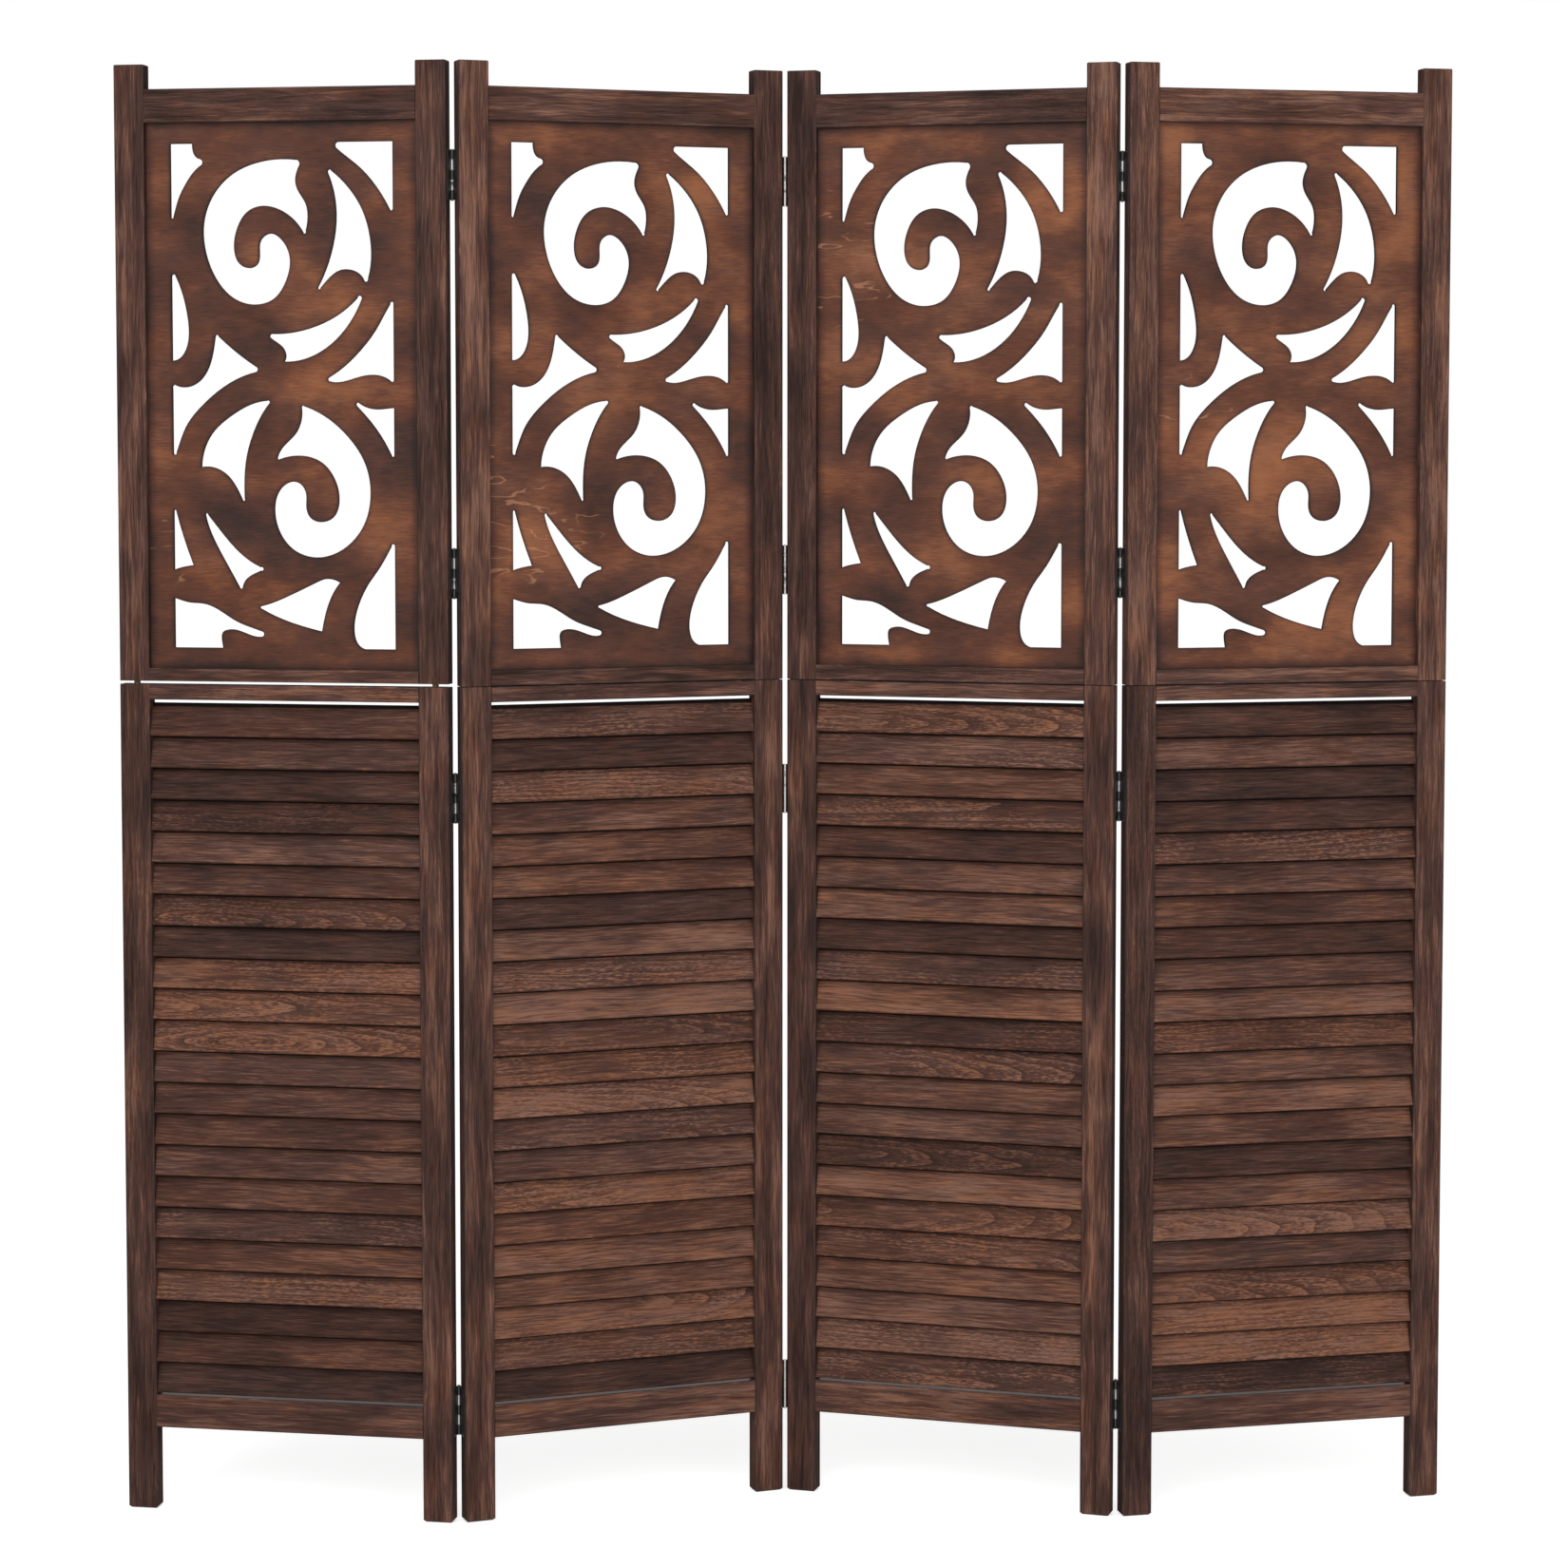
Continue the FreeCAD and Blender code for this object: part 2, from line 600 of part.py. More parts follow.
def panel_stands():
    stands = []
    for panel in PANELS:
        turned = FreeCAD.Rotation(UP, size(f"turn_{panel}"))
        base = V(0, 0, 0)
        if stands:
            line = panel - 1
            shared = stands[-1].multVec(V(size("panel_width") + size("hinge_gap") / 2, pin_depth(line), 0))
            base = shared - turned.multVec(V(-size("hinge_gap") / 2, pin_depth(line), 0))
        stands.append(FreeCAD.Placement(base, turned))
    # Centre the footprint on the origin, from the centres of the eased stile corners
    ease = size("edge_round")
    far_x = size("panel_width") - ease
    far_y = size("frame_depth") - ease
    corners = [stand.multVec(V(x, y, 0)) for stand in stands for x in (ease, far_x) for y in (ease, far_y)]
    middle = V(
        (min(c.x for c in corners) + max(c.x for c in corners)) / 2,
        (min(c.y for c in corners) + max(c.y for c in corners)) / 2,
        0,
    )
    return [FreeCAD.Placement(stand.Base - middle, stand.Rotation) for stand in stands]


stands = dict(zip(PANELS, panel_stands()))


def hinge_stand(panel, edge):
    # Where the hinge drawing goes on a panel's left or right edge, turned round when the pin is behind
    line = panel if edge == "right" else panel - 1
    x = size("panel_width") + size("hinge_gap") / 2 if edge == "right" else -size("hinge_gap") / 2
    turned = FreeCAD.Rotation(UP, 0 if line == 2 else 180)
    return stands[panel].multiply(FreeCAD.Placement(V(x, pin_depth(line), 0), turned))


def drawn_side(panel, edge):
    # A panel's right edge takes the left side of the hinge drawing, unless the hinge is turned round
    line = panel if edge == "right" else panel - 1
    turned_round = line != 2
    return "right" if (edge == "left") != turned_round else "left"


# Finished pieces, each standing in its place
pieces = []


def finish(label, members, stand):
    piece = group(label, members)
    piece.Label = label
    piece.Placement = stand
    pieces.append(piece)


for panel in PANELS:
    seam = "sizes.loose_seam_gap" if panel == 1 else "sizes.seam_gap"
    edges = [edge for edge in ("left", "right") if (panel, edge) not in ((1, "left"), (4, "right"))]
    made = {
        "foot_rail": foot_rail,
        "louvre_head_rail": louvre_head,
        "louvre_slats": slats,
        "sill_rail": sill_rail(seam),
        "head_rail": head_rail,
        "fretwork": fretwork,
        "pegs": pegs(seam, "0"),
    }
    for side in ("left", "right"):
        made[f"lower_{side}_stile"] = lower_stile(side, side in edges)
        made[f"upper_{side}_stile"] = upper_stile(side, side in edges, seam)
    for name, source in made.items():
        finish(f"panel_{panel}_{name}", [source], stands[panel])
    driven = []
    for edge in edges:
        line = panel if edge == "right" else panel - 1
        stand = hinge_stand(panel, edge)
        side = drawn_side(panel, edge)
        finish(f"hinge_line_{line}_leaves_on_panel_{panel}", [leaves[side]], stand)
        column = group(f"screws_{panel}_{edge}", [screws[side]])
        column.Placement = stand
        driven.append(column)
        if edge == "right":
            finish(f"hinge_line_{line}_pins", [pins], stand)
    finish(f"panel_{panel}_hinge_screws", driven, FreeCAD.Placement())

doc.recompute()

for thing in doc.Objects:
    if "Invalid" in thing.State or "Error" in thing.State:
        raise RuntimeError(f"{thing.Name} did not build: {thing.getStatusString()}")
for piece in pieces:
    if piece.Shape.isNull() or not piece.Shape.isValid():
        raise RuntimeError(f"{piece.Label} is not a valid shape")
    piece.Shape.exportStep(f"parts/{piece.Label}.step")
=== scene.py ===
import collections
import json
import math
import random

import bpy
from mathutils import Matrix, Vector


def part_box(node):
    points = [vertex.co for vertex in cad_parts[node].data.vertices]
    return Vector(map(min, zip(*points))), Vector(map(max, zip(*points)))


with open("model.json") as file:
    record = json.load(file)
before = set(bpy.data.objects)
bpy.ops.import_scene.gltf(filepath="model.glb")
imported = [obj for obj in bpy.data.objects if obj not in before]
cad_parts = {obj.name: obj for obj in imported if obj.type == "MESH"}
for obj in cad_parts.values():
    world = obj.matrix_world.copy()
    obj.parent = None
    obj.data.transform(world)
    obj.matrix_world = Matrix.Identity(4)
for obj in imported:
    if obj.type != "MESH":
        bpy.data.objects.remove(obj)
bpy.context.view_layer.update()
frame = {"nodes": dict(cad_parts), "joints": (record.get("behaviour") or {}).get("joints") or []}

nodes = frame["nodes"]

# Stiles and rails: sawn softwood bars, scorched, brushed and stained dark brown. The grain runs along each
# bar, the stiles stand on chamfered feet and the rails are tenoned between them.
PANEL_WIDTH = 0.3968
PANEL_DEPTH = 0.020
STILE_WIDTH = 0.036
HINGE_GAP = 0.004
PIN_STAND_OFF = 0.0015
FIRST_TURN = math.radians(-9.9)
RING_WIDTH = 0.005
HEART_WANDER = 0.012
RING_WANDER = 0.006
LINE_WANDER = 0.010
EDGE_WEAR_AND_SHADE = (0.0004, 0.0020)
FACING = (0.6, 0.95)
GRAIN_RELIEF = 0.0003
SCORCHED = (0.0195, 0.0092, 0.0072, 1)
STAINED = (0.075, 0.0330, 0.0236, 1)
WORN = (0.228, 0.1070, 0.0670, 1)
COOL_CAST = (0.97, 1.01, 1.08, 1)
WARM_CAST = (1.10, 0.97, 0.82, 1)
BARS = (
    "lower_left_stile", "lower_right_stile", "upper_left_stile", "upper_right_stile",
    "foot_rail", "louvre_head_rail", "sill_rail", "head_rail",
)
PALE_BAR = 0.13
PALE_BARS = {
    1: ("sill_rail", "louvre_head_rail"),
    2: ("upper_left_stile", "foot_rail"),
    3: ("upper_right_stile", "louvre_head_rail", "foot_rail", "sill_rail"),
    4: ("upper_left_stile", "upper_right_stile", "head_rail", "sill_rail", "louvre_head_rail"),
}
DARK_BAR = 0.14
DARK_BARS = {
    1: ("lower_left_stile", "upper_right_stile", "head_rail"),
    2: ("upper_right_stile", "sill_rail"),
    3: ("lower_left_stile", "upper_left_stile", "head_rail"),
    4: ("lower_left_stile",),
}

# How a board was sawn. Its pattern begins at start, and the tree's heart lies at heart behind its face and at
# side across it, and leans away along it. Figure is how strongly its pores show, up to about 1.
Board = collections.namedtuple("Board", "start heart side lean figure")


def panel_stands():
    """The front left corner and the turn of each panel, from the pins that it shares with its neighbours. Two
    panels are in line at the low end of their joint. The pin is behind them where it turns about +Z."""
    stands = {}
    turn = FIRST_TURN
    for panel, joint in enumerate(frame["joints"], 1):
        pin = Vector(joint["pos_m"])
        upward = joint["axis"][2]
        back = PANEL_DEPTH + PIN_STAND_OFF if upward > 0 else -PIN_STAND_OFF
        if panel == 1:
            on_right = Vector((PANEL_WIDTH + HINGE_GAP / 2, back, 0))
            stands[panel] = pin - Matrix.Rotation(turn, 3, "Z") @ on_right, turn
        turn -= math.radians(joint["range_deg"][0]) * upward
        on_left = Vector((-HINGE_GAP / 2, back, 0))
        stands[panel + 1] = pin - Matrix.Rotation(turn, 3, "Z") @ on_left, turn
    return stands


PANEL_STANDS = panel_stands()


class Socket:
    """One shader value. Plain arithmetic on it adds Math nodes to its material."""

    def __init__(self, paint, socket):
        self.paint = paint
        self.socket = socket

    def math(self, operation, *others):
        return self.paint.node("ShaderNodeMath", {"operation": operation}, [self, *others])

    def __add__(self, other):
        return self.math("ADD", other)

    def __sub__(self, other):
        return self.math("SUBTRACT", other)

    def __rsub__(self, other):
        return self * -1 + other

    def __mul__(self, other):
        return self.math("MULTIPLY", other)

    def __truediv__(self, other):
        return self.math("DIVIDE", other)

    __radd__ = __add__
    __rmul__ = __mul__

    def rises(self, low, high):
        """0 below low, 1 above high and smooth between."""
        settings = {"interpolation_type": "SMOOTHSTEP"}
        return self.paint.node("ShaderNodeMapRange", settings, [self, low, high])


class Paint:
    """The nodes of one material, or of the world."""

    def __init__(self, owner):
        owner.use_nodes = True
        self.owner = owner
        self.tree = owner.node_tree
        self.surface = self.tree.nodes.get("Principled BSDF") or self.tree.nodes["Background"]

    def feed(self, node, key, value):
        """Links a value to one of the node's inputs, or sets a plain number or colour there."""
        if isinstance(value, Socket):
            self.tree.links.new(value.socket, node.inputs[key])
        else:
            node.inputs[key].default_value = value

    def node(self, kind, settings, inputs, output=0):
        """Adds a node of this type and gives back one of its outputs."""
        made = self.tree.nodes.new(kind)
        for name, value in settings.items():
            setattr(made, name, value)
        for key, value in inputs.items() if isinstance(inputs, dict) else enumerate(inputs):
            self.feed(made, key, value)
        return Socket(self, made.outputs[output])

    def vector(self, x, y, z):
        return self.node("ShaderNodeCombineXYZ", {}, [x, y, z])

    def split(self, vector):
        """The x, y and z of a vector."""
        return [self.node("ShaderNodeSeparateXYZ", {}, [vector], axis) for axis in "XYZ"]

    def coordinate(self, kind):
        return self.node("ShaderNodeTexCoord", {}, [], kind)

    def marks(self, along, across, depth, length, width, detail=2.0, roughness=0.5):
        """Noise from 0 to 1, in marks of about this length along and this width across and deep, in metres."""
        spot = self.vector(along / length, across / width, depth / width)
        inputs = {"Vector": spot, "Scale": 1.0, "Detail": detail, "Roughness": roughness}
        return self.node("ShaderNodeTexNoise", {}, inputs)

    def chance(self, x, y):
        """A random number from 0 to 1 for each pair of whole numbers."""
        return self.node("ShaderNodeTexWhiteNoise", {}, {"Vector": self.vector(x, y, 0.5)})

    def mix(self, factor, a, b):
        return self.node("ShaderNodeMix", {"data_type": "RGBA"}, {0: factor, 6: a, 7: b}, 2)

    def tint(self, color, cast):
        """The colour with a cast from 0 for cool to 1 for warm."""
        settings = {"data_type": "RGBA", "blend_type": "MULTIPLY"}
        shift = self.mix(cast, COOL_CAST, WARM_CAST)
        return self.node("ShaderNodeMix", settings, {0: 1.0, 6: color, 7: shift}, 2)

    def panel_point(self, panel):
        """x, y and z in the panel's own frame: across from its left edge, back from its face, up."""
        corner, turn = PANEL_STANDS[panel]
        inputs = {"Vector": self.coordinate("Object"), "Location": corner, "Rotation": (0, 0, turn)}
        return self.split(self.node("ShaderNodeMapping", {"vector_type": "TEXTURE"}, inputs))

    def panel_normal(self, panel):
        """How far the surface faces along each axis of the panel's frame, either way."""
        inputs = {"Vector": self.coordinate("Normal"), "Rotation": (0, 0, PANEL_STANDS[panel][1])}
        facing = self.node("ShaderNodeMapping", {"vector_type": "TEXTURE"}, inputs)
        return self.split(self.node("ShaderNodeVectorMath", {"operation": "ABSOLUTE"}, [facing]))

    def finish(self, color, roughness, relief, height, more=None):
        """Feeds the surface. Relief is the height map, and height its full depth in metres."""
        bump = self.node("ShaderNodeBump", {}, {"Strength": 1.0, "Distance": height, "Height": relief})
        plain = {"Specular IOR Level": 0.12, "Coat Roughness": 0.3}
        feeds = {"Base Color": color, "Roughness": roughness, "Normal": bump}
        for key, value in {**plain, **feeds, **(more or {})}.items():
            self.feed(self.surface, key, value)
        return self.owner


def dress(name, material):
    """Gives a CAD node its material."""
    nodes[name].data.materials.clear()
    nodes[name].data.materials.append(material)


def grain(paint, board, along, across, depth, lines, streaks):
    """Tone round 0 and relief of a scorched and brushed board. Lines and streaks are the strength of the fine
    and of the broad brush marks."""
    run = along + board.start
    wander = paint.marks(run, across, depth, length=0.125, width=0.03) - 0.5
    sideways = across - board.side + wander * HEART_WANDER
    inward = depth + board.heart + along * board.lean
    radius = (sideways * sideways + inward * inward).math("SQRT") + wander * RING_WANDER
    ring = (radius / RING_WIDTH).math("FRACT")
    bent = across + wander * LINE_WANDER
    pores = paint.marks(run, bent, radius / 2, length=0.0075, width=0.0014, roughness=0.6)
    dash = (pores + ring * 0.22).rises(0.54, 0.78)
    bound = 1 - ring.rises(0.02, 0.2)
    fine = paint.marks(run, bent, depth, length=0.030, width=0.0014, roughness=0.6) - 0.5
    band = paint.marks(run, bent, depth, length=0.125, width=0.0067, roughness=0.4) - 0.5
    hair = 1 - band.math("ABSOLUTE").rises(0.01, 0.09)
    streak = paint.marks(run, bent, depth, length=0.14, width=0.008, detail=3, roughness=0.6) - 0.5
    cloud = paint.marks(run, across, depth, length=0.11, width=0.04, detail=3) - 0.5
    scorch = paint.marks(run, across, depth, length=0.25, width=0.07).rises(0.52, 0.72)
    plain = fine * lines + streak * streaks + cloud * 0.9 - scorch * 0.2 - hair * 0.18 + 0.05
    flecks = dash * 0.46 - bound * 0.12 - 0.12
    patch = paint.marks(run, across, depth, length=0.16, width=0.04).rises(0.3, 0.6)
    figure = patch * board.figure
    return plain * (1 - figure * 0.4) + flecks * figure, fine * 0.6 + dash * 0.3


def stain(paint, tone, cast):
    """Scorched at tone -0.5, stained at 0 and rubbed to tan at 0.5."""
    lower = paint.mix(tone.rises(-0.62, 0.14), SCORCHED, STAINED)
    return paint.tint(paint.mix(tone.rises(-0.08, 0.62), lower, WORN), cast)


def bar_material(name, panel, bar, seed):
    """Wood of one bar: pale rubbed edges, painted shade on its sides and other edges, darker ends."""
    pick = random.Random(seed)
    board = Board(
        start=pick.uniform(1, 40),
        heart=pick.uniform(0.006, 0.03),
        side=pick.uniform(-0.03, 0.06),
        lean=pick.uniform(-0.03, 0.03),
        figure=pick.uniform(0.05, 0.5),
    )
    paint = Paint(bpy.data.materials.new(name))
    x, y, z = paint.panel_point(panel)
    sideward, _, upward = paint.panel_normal(panel)
    low, high = (corner.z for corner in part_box(name))
    if bar.endswith("stile"):
        left = 0.0 if "left" in bar else PANEL_WIDTH - STILE_WIDTH
        along, across, width = z - low, x - left, STILE_WIDTH
        flank, end = sideward.rises(*FACING), upward.rises(*FACING)
    else:
        along, across, width = x - STILE_WIDTH, z - low, high - low
        flank, end = upward.rises(*FACING), sideward.rises(*FACING)
    tone, relief = grain(paint, board, along, across, y, lines=1.2, streaks=1.3)
    beside = across.math("MINIMUM", width - across)
    inside = y.math("MINIMUM", PANEL_DEPTH - y)
    # The edge band is paler where rubbed, which is wear, and darker elsewhere, which is painted shade on the
    # rounded arris.
    edge = 1 - beside.math("MAXIMUM", inside).rises(*EDGE_WEAR_AND_SHADE)
    run = along + seed
    rub = paint.marks(run, across, y, length=0.017, width=0.0033).rises(0.5, 0.75)
    broad = paint.marks(run, across, y, length=0.17, width=0.025, detail=3) - 0.5
    cast = paint.marks(run, across, y, length=0.07, width=0.022, detail=3).rises(0.38, 0.8)
    shade = PALE_BAR * (bar in PALE_BARS[panel]) - DARK_BAR * (bar in DARK_BARS[panel])
    # Painted shade: the sides of the bar are darker by flank.
    tone = tone + shade + broad + edge * (rub * 0.55 - 0.36) - flank * 0.16 - end * 0.3
    roughness = 0.55 - tone * 0.16 - edge * 0.15 + flank * 0.4
    polish = upward.rises(0.8, 0.95) * 0.4 if bar == "foot_rail" else 0.0
    sheen = {"Coat Weight": edge * 0.25 + polish}
    return paint.finish(stain(paint, tone, cast), roughness, relief, GRAIN_RELIEF, sheen)


for panel in PANEL_STANDS:
    for number, bar in enumerate(BARS):
        name = f"panel_{panel}_{bar}"
        dress(name, bar_material(name, panel, bar, panel * 10 + number))

# Louvre slats: thin boards of the same wood, each with its own tone and figure, leaning back at the top and
# housed in slanted slots in the stiles. Painted shade and shadow darken each below the slat above.
# All slats of a panel share one material, in which each slat's pattern starts a step further on.
SLAT_COUNT = 22
SLAT_TILT = math.radians(17.5)
SLAT_THICKNESS = 0.006
SLAT_WIDTH = 0.040
SLAT_BOTTOM_GAP = 0.0012
SLAT_TOP_GAP = 0.0037
LOUVRE_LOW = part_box("panel_1_foot_rail")[1].z + SLAT_BOTTOM_GAP
LOUVRE_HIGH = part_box("panel_1_louvre_head_rail")[0].z - SLAT_TOP_GAP
SLAT_RISE = SLAT_WIDTH * math.cos(SLAT_TILT) + SLAT_THICKNESS * math.sin(SLAT_TILT)
SLAT_REACH = SLAT_WIDTH * math.sin(SLAT_TILT) + SLAT_THICKNESS * math.cos(SLAT_TILT)
SLAT_PITCH = (LOUVRE_HIGH - LOUVRE_LOW - SLAT_RISE) / (SLAT_COUNT - 1)
SLAT_SPACING = SLAT_PITCH * math.sin(SLAT_TILT)
SLAT_FRONT = (PANEL_DEPTH - SLAT_REACH) / 2
SLAT_FOOT = LOUVRE_LOW + SLAT_THICKNESS * math.sin(SLAT_TILT)
SLAT_SHOWN = SLAT_PITCH / math.cos(SLAT_TILT)
JOINT_SHADE = (SLAT_SHOWN - 0.012, SLAT_SHOWN - 0.004)
JOINT_SHADOW_BAND = (SLAT_SHOWN - 0.0046, SLAT_SHOWN - 0.0034)
JOINT_SHADOW_COLOR = (0.006, 0.0028, 0.0020, 1)
LIP_WEAR = (0.0004, 0.004)
SLAT_SHADES = {1: -0.02, 2: 0.10, 3: 0.08, 4: 0.07}
PALE_SLAT = 0.17
DARK_SLAT = 0.28
SLAT_STEP = 3.7
PANEL_STEP = 90.0
DARK_SLATS = {1: (0, 2, 14, 18, 19), 2: (0, 15, 20), 3: (7, 11, 14, 17), 4: (0, 7, 14, 18, 19, 21)}
PALE_SLATS = {1: (3, 11, 12, 13, 17), 2: (2, 4, 6, 9, 12, 14), 3: (1, 2, 3, 6, 12), 4: (1, 2, 5, 9, 12)}
FLECKED_SLATS = {
    1: (3, 5, 11, 12, 13, 15, 18),
    2: (1, 2, 6, 8, 9, 10, 11, 13, 19, 21),
    3: (0, 1, 4, 5, 7, 10, 11, 13, 18, 20, 21),
    4: (0, 1, 2, 3, 5, 11, 17),
}


def listed(index, numbers):
    """1 on the slats with these numbers, counted up from the lowest, and 0 on the others."""
    return sum(index.math("COMPARE", number, 0.5) for number in numbers)


def slat_material(name, panel):
    """Wood of all the slats of a panel. A point's place gives the number of the slat that it is on."""
    paint = Paint(bpy.data.materials.new(name))
    x, y, z = paint.panel_point(panel)
    back = y - SLAT_FRONT
    up = z - SLAT_FOOT
    layer = back * math.cos(SLAT_TILT) - up * math.sin(SLAT_TILT)
    index = ((SLAT_THICKNESS / 2 - layer) / SLAT_SPACING + 0.5).math("FLOOR")
    through = layer + index * SLAT_SPACING
    across = back * math.sin(SLAT_TILT) + (up - index * SLAT_PITCH) * math.cos(SLAT_TILT)
    board = Board(
        start=index * SLAT_STEP + panel * PANEL_STEP,
        heart=paint.chance(index, panel) * 0.014 + 0.006,
        side=paint.chance(index, panel + 10) * 0.07 - 0.015,
        lean=(paint.chance(index, panel + 20) - 0.5) * 0.24,
        figure=listed(index, FLECKED_SLATS[panel]) * 0.85 + 0.25,
    )
    tone, relief = grain(paint, board, x, across, through, lines=1.4, streaks=0.55)
    run = x + board.start
    shade = (paint.chance(index, panel + 30) - 0.5) * 0.12 + SLAT_SHADES[panel]
    shade = shade + listed(index, PALE_SLATS[panel]) * PALE_SLAT
    shade = shade - listed(index, DARK_SLATS[panel]) * DARK_SLAT
    lip = 1 - across.rises(*LIP_WEAR)
    rub = paint.marks(run, across, through, length=0.014, width=0.03, detail=3).rises(0.45, 0.8)
    # Painted shade: each slat grows darker towards its top, under the slat above.
    tone = tone + shade + lip * (rub * 0.3 - 0.02) - across.rises(*JOINT_SHADE) * 0.12
    warmth = paint.chance(index, panel + 40) * 0.3
    cast = (paint.marks(run, across, through, length=0.06, width=0.017, detail=3) + warmth).rises(0.4, 0.9)
    # Painted shadow: a dark line on each slat just under the lip of the slat above.
    joint = across.rises(*JOINT_SHADOW_BAND)
    color = paint.mix(joint, stain(paint, tone, cast), JOINT_SHADOW_COLOR)
    return paint.finish(color, 0.55 - tone * 0.16 + joint * 0.3, relief, GRAIN_RELIEF)


for panel in PANEL_STANDS:
    name = f"panel_{panel}_louvre_slats"
    dress(name, slat_material(name, panel))

# Scroll-cut sheet: thin plywood, stained a redder brown, scorched in soft clouds and along its cut edges, and
# scratched by handling. It stands in a groove round the inside of the upper frame.
PLY = 0.0013
SHEET_RELIEF = 0.00012
SHEET_BORDER = 0.012
CUT_GLOW = 0.009
CUT_CHAR = 0.0055
SHEET_CHAR = (0.012, 0.0070, 0.0060, 1)
SHEET_SCORCHED = (0.030, 0.0160, 0.0130, 1)
SHEET_STAINED = (0.100, 0.0385, 0.0245, 1)
SHEET_WORN = (0.252, 0.1050, 0.0540, 1)
SCRATCH = (0.40, 0.19, 0.10, 1)
SHEET_SHADES = {1: -0.04, 2: 0.04, 3: 0.04, 4: 0.10}
SHEET_STEP = 3.3
Spot = collections.namedtuple("Spot", "x z reach")
SCRATCHED_SPOTS = {
    1: Spot(0.06, 1.13, 0.04),
    2: Spot(0.07, 1.18, 0.11),
    3: Spot(0.10, 1.47, 0.09),
    4: Spot(0.08, 1.30, 0.05),
}


def near_cut(paint, reach):
    """1 on the arris of a cut edge, down to 0 at this reach from it. It holds at every pose."""
    rounded = paint.node("ShaderNodeBevel", {"samples": 4}, {"Radius": reach})
    facing = paint.node("ShaderNodeNewGeometry", {}, [], "Normal")
    same = paint.node("ShaderNodeVectorMath", {"operation": "DOT_PRODUCT"}, [rounded, facing], "Value")
    return 1 - same.rises(0.7, 1.0)


def scratches(paint, panel, x, z, here):
    """Thin wandering lines that fade out round the panel's scratched spot."""
    spot = SCRATCHED_SPOTS[panel]
    contour = (paint.marks(here, z, 0.0, length=0.125, width=0.038, detail=3) - 0.5).math("ABSOLUTE")
    far = ((x - spot.x) * (x - spot.x) + (z - spot.z) * (z - spot.z)).math("SQRT")
    kept = (paint.marks(here, z, 1.0, length=0.033, width=0.033) - far / spot.reach * 0.35).rises(0.22, 0.34)
    return (1 - contour.rises(0.003, 0.010)) * kept


def sheet_material(name, panel):
    """Stained plywood, dark round its openings, with painted shade round its border and its plies in the cut
    edges.
    """
    paint = Paint(bpy.data.materials.new(name))
    x, y, z = paint.panel_point(panel)
    here = x + panel * SHEET_STEP
    cloud = paint.marks(here, z, 0.0, length=0.14, width=0.10, detail=3) - 0.5
    dapple = paint.marks(here, z, 0.0, length=0.025, width=0.011, detail=3, roughness=0.6) - 0.5
    streak = paint.marks(here, z, 0.0, length=0.019, width=0.0016, detail=3, roughness=0.65) - 0.5
    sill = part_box(f"panel_{panel}_sill_rail")[1].z
    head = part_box(f"panel_{panel}_head_rail")[0].z
    sides = (x - STILE_WIDTH).math("MINIMUM", PANEL_WIDTH - STILE_WIDTH - x)
    ends = (z - sill).math("MINIMUM", head - z)
    border = 1 - sides.math("MINIMUM", ends).rises(0.0, SHEET_BORDER)
    tone = cloud * 2.2 + dapple * 0.5 + streak * 0.75 + SHEET_SHADES[panel]
    # Painted shade: the sheet is darker along its border, where it lies recessed in the frame.
    tone = tone - border * 0.3 - near_cut(paint, CUT_GLOW) * 0.3
    warmth = paint.marks(here, z, 0.0, length=0.083, width=0.056, detail=3)
    cast = (warmth + tone * 0.35).rises(0.2, 0.75)
    lower = paint.mix(tone.rises(-0.62, 0.14), SHEET_SCORCHED, SHEET_STAINED)
    color = paint.tint(paint.mix(tone.rises(-0.08, 0.7), lower, SHEET_WORN), cast)
    scratch = scratches(paint, panel, x, z, here)
    color = paint.mix(scratch * 0.55, color, SCRATCH)
    color = paint.mix(near_cut(paint, CUT_CHAR), color, SHEET_CHAR)
    cut = 1 - paint.panel_normal(panel)[1].rises(0.5, 0.9)
    plies = (y * math.pi / PLY).math("SINE") * 0.25 + 0.5
    color = paint.mix(cut, color, paint.mix(plies, SHEET_CHAR, SHEET_SCORCHED))
    return paint.finish(color, 0.5 - cloud * 0.3 + cut * 0.45, streak - scratch * 0.5, SHEET_RELIEF)


for panel in PANEL_STANDS:
    name = f"panel_{panel}_fretwork"
    dress(name, sheet_material(name, panel))

# Pegs: bare turned dowels of pale wood, with the grain running up them. They are glued into the tops of the
# lower stiles and stand loose in the upper ones.
PEG_DARK = (0.16, 0.085, 0.045, 1)
PEG_PALE = (0.34, 0.21, 0.12, 1)
PEG_RELIEF = 0.0001
for panel in PANEL_STANDS:
    name = f"panel_{panel}_pegs"
    paint = Paint(bpy.data.materials.new(name))
    x, y, z = paint.panel_point(panel)
    streak = paint.marks(z, x, y, length=0.033, width=0.0011, detail=3)
    peg_wood = paint.finish(paint.mix(streak, PEG_DARK, PEG_PALE), 0.75 - streak * 0.2, streak, PEG_RELIEF)
    dress(name, peg_wood)

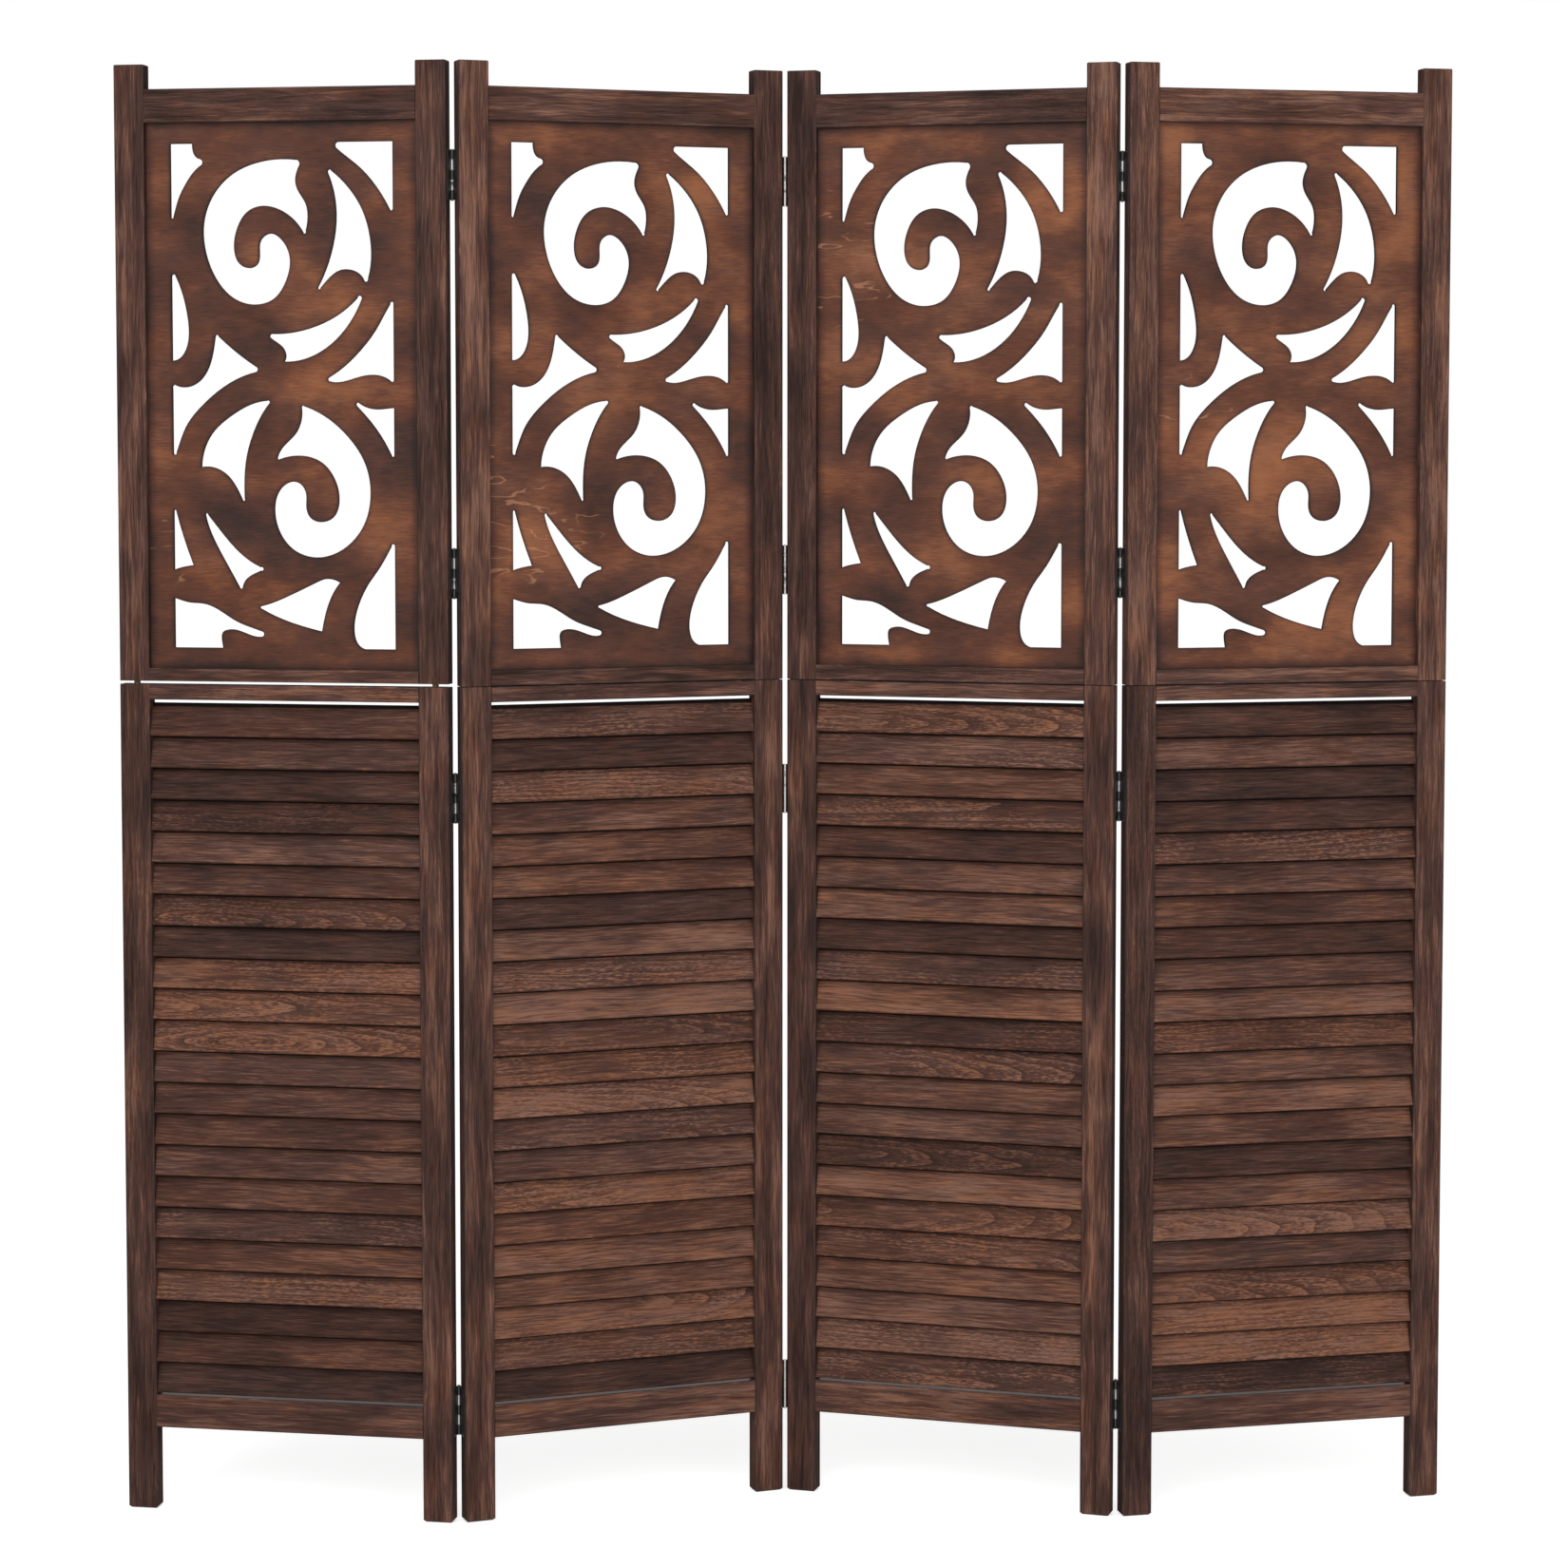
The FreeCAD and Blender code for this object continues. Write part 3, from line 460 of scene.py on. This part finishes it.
# Hinges: pressed steel butt hinges in black lacquer, with leaves on the stile edges, steel pins and countersunk
# screws. Dashes of bright steel on the front of the barrels are a painted highlight.
BARREL_RADIUS = 0.0019
BARREL_END = (BARREL_RADIUS + 0.0001, BARREL_RADIUS + 0.0006)
GLINT_STRIP = (0.0008, 0.0012)
LACQUER_RELIEF = 0.00006
LACQUER_DARK = (0.007, 0.0065, 0.006, 1)
LACQUER_PALE = (0.022, 0.019, 0.017, 1)
BARE_STEEL = (0.85, 0.82, 0.80, 1)
FAINT_WEAR_AND_GLINT = 0.1
BARREL_GLINT = {
    "hinge_line_1_leaves_on_panel_1": 0.9,
    "hinge_line_2_leaves_on_panel_2": 0.45,
    "hinge_line_2_leaves_on_panel_3": 0.45,
    "hinge_line_3_leaves_on_panel_3": 0.9,
    "hinge_line_1_pins": 0.9,
    "hinge_line_2_pins": 0.9,
    "hinge_line_3_pins": 0.9,
}


def lacquered(paint, dapple, rubbed):
    """Black lacquer where rubbed is 0 and bright steel where it is 1: wear on screws, painted highlight on
    barrels.
    """
    color = paint.mix(rubbed, paint.mix(dapple, LACQUER_DARK, LACQUER_PALE), BARE_STEEL)
    metal = {"Metallic": rubbed * 0.6 + 0.35, "Specular IOR Level": 0.5}
    return paint.finish(color, 0.36 + dapple * 0.2 - rubbed * 0.14, dapple, LACQUER_RELIEF, metal)


def hinge_material(name, pin):
    """Lacquer of the leaves or pins on a hinge line, with a painted highlight of bright steel on the front of
    the barrel round its pin.
    """
    paint = Paint(bpy.data.materials.new(name))
    x, y, z = paint.split(paint.coordinate("Object"))
    dapple = paint.marks(z, x, y, length=0.004, width=0.004, detail=4, roughness=0.6)
    off_x = x - pin.x
    off_y = y - pin.y
    far = (off_x * off_x + off_y * off_y).math("SQRT")
    barrel = 1 - far.rises(*BARREL_END)
    # Painted highlight: a strip down the front of the barrel, broken into dashes by noise, turns to bright
    # steel.
    front = (1 - off_x.math("ABSOLUTE").rises(*GLINT_STRIP)) * (off_y * -1).rises(0.0, 0.001)
    glint_dashes = paint.marks(z, x, y, length=0.008, width=0.017, detail=3).rises(0.25, 0.5)
    return lacquered(paint, dapple, glint_dashes * barrel * front * BARREL_GLINT.get(name, FAINT_WEAR_AND_GLINT))


def screw_material(name):
    """Lacquer of the screws of a panel, hardly rubbed."""
    paint = Paint(bpy.data.materials.new(name))
    x, y, z = paint.split(paint.coordinate("Object"))
    dapple = paint.marks(z, x, y, length=0.004, width=0.004, detail=4, roughness=0.6)
    return lacquered(paint, dapple, dapple * FAINT_WEAR_AND_GLINT)


for name in nodes:
    for joint in frame["joints"]:
        if name.startswith(joint["name"]):
            dress(name, hinge_material(name, Vector(joint["pos_m"])))
    if name.endswith("hinge_screws"):
        dress(name, screw_material(name))

# Studio: a white floor that keeps the soft shadow, white all round and two large soft lights in front.
# White is only what the camera sees, directly or in a reflection. The light on the object stays plain.
FLOOR_HALF = 30.0
FLOOR_WHITE = (0.95, 0.95, 0.95, 1)
FLOOR_LIFT = (0.58, 0.58, 0.58, 1)
ROOM_LEVEL = 0.5
ROOM_SEEN = 1.0
DARK = (0, 0, 0, 1)
WHITE = (1, 1, 1, 1)


def seen_rays(paint):
    """1 for what the camera sees, also in a reflection, and 0 for the light that falls on the object."""
    camera_ray = paint.node("ShaderNodeLightPath", {}, [], "Is Camera Ray")
    glossy_ray = paint.node("ShaderNodeLightPath", {}, [], "Is Glossy Ray")
    clear_ray = paint.node("ShaderNodeLightPath", {}, [], "Is Transmission Ray")
    return camera_ray.math("MAXIMUM", glossy_ray).math("MAXIMUM", clear_ray)


def white_floor():
    mesh = bpy.data.meshes.new("floor")
    corners = [(x * FLOOR_HALF, y * FLOOR_HALF, 0) for x, y in ((-1, -1), (1, -1), (1, 1), (-1, 1))]
    mesh.from_pydata(corners, [], [(0, 1, 2, 3)])
    floor = bpy.data.objects.new("floor", mesh)
    bpy.context.scene.collection.objects.link(floor)
    paint = Paint(bpy.data.materials.new("floor"))
    lift = paint.mix(seen_rays(paint), DARK, FLOOR_LIFT)
    feeds = {"Base Color": FLOOR_WHITE, "Roughness": 0.9, "Specular IOR Level": 0.0, "Emission Strength": 1.0}
    for key, value in {**feeds, "Emission Color": lift}.items():
        paint.feed(paint.surface, key, value)
    mesh.materials.append(paint.owner)


def white_room():
    bpy.context.scene.world = bpy.data.worlds.new("room")
    paint = Paint(bpy.context.scene.world)
    paint.feed(paint.surface, "Color", WHITE)
    paint.feed(paint.surface, "Strength", seen_rays(paint) * (ROOM_SEEN - ROOM_LEVEL) + ROOM_LEVEL)


def soft_light(name, spot, aim, side, watts):
    data = bpy.data.lights.new(name, "AREA")
    data.size = side
    data.energy = watts
    light = bpy.data.objects.new(name, data)
    light.location = spot
    light.rotation_euler = (Vector(aim) - Vector(spot)).to_track_quat("-Z", "Y").to_euler()
    bpy.context.scene.collection.objects.link(light)


white_floor()
white_room()
soft_light("key", spot=(-1.1, -3.2, 2.9), aim=(0, 0, 0.8), side=3.0, watts=74)
soft_light("fill", spot=(2.2, -3.6, 1.3), aim=(0, 0, 0.6), side=3.0, watts=40)

# Camera: at the photo's place, four and a half metres in front of the screen and at about three quarters of its
# height, tipped slightly down. The picture is cut from the lower part of what the lens shows.
PHOTO_PIXELS = 1650
FOCAL_PIXELS = 4033.0
PRINCIPAL_ROW = 706.7
SENSOR = 36.0
CAMERA_SPOT = (-0.00315, -4.4931, 1.2817)
CAMERA_DIP = math.radians(3.663)
camera_data = bpy.data.cameras.new("camera")
camera_data.sensor_width = SENSOR
camera_data.lens = FOCAL_PIXELS / PHOTO_PIXELS * SENSOR
camera_data.shift_y = (PRINCIPAL_ROW - PHOTO_PIXELS / 2) / PHOTO_PIXELS
camera = bpy.data.objects.new("camera", camera_data)
camera.location = CAMERA_SPOT
camera.rotation_euler = (math.pi / 2 - CAMERA_DIP, 0, 0)
bpy.context.scene.collection.objects.link(camera)
bpy.context.scene.camera = camera
bpy.context.scene.view_settings.view_transform = "Standard"
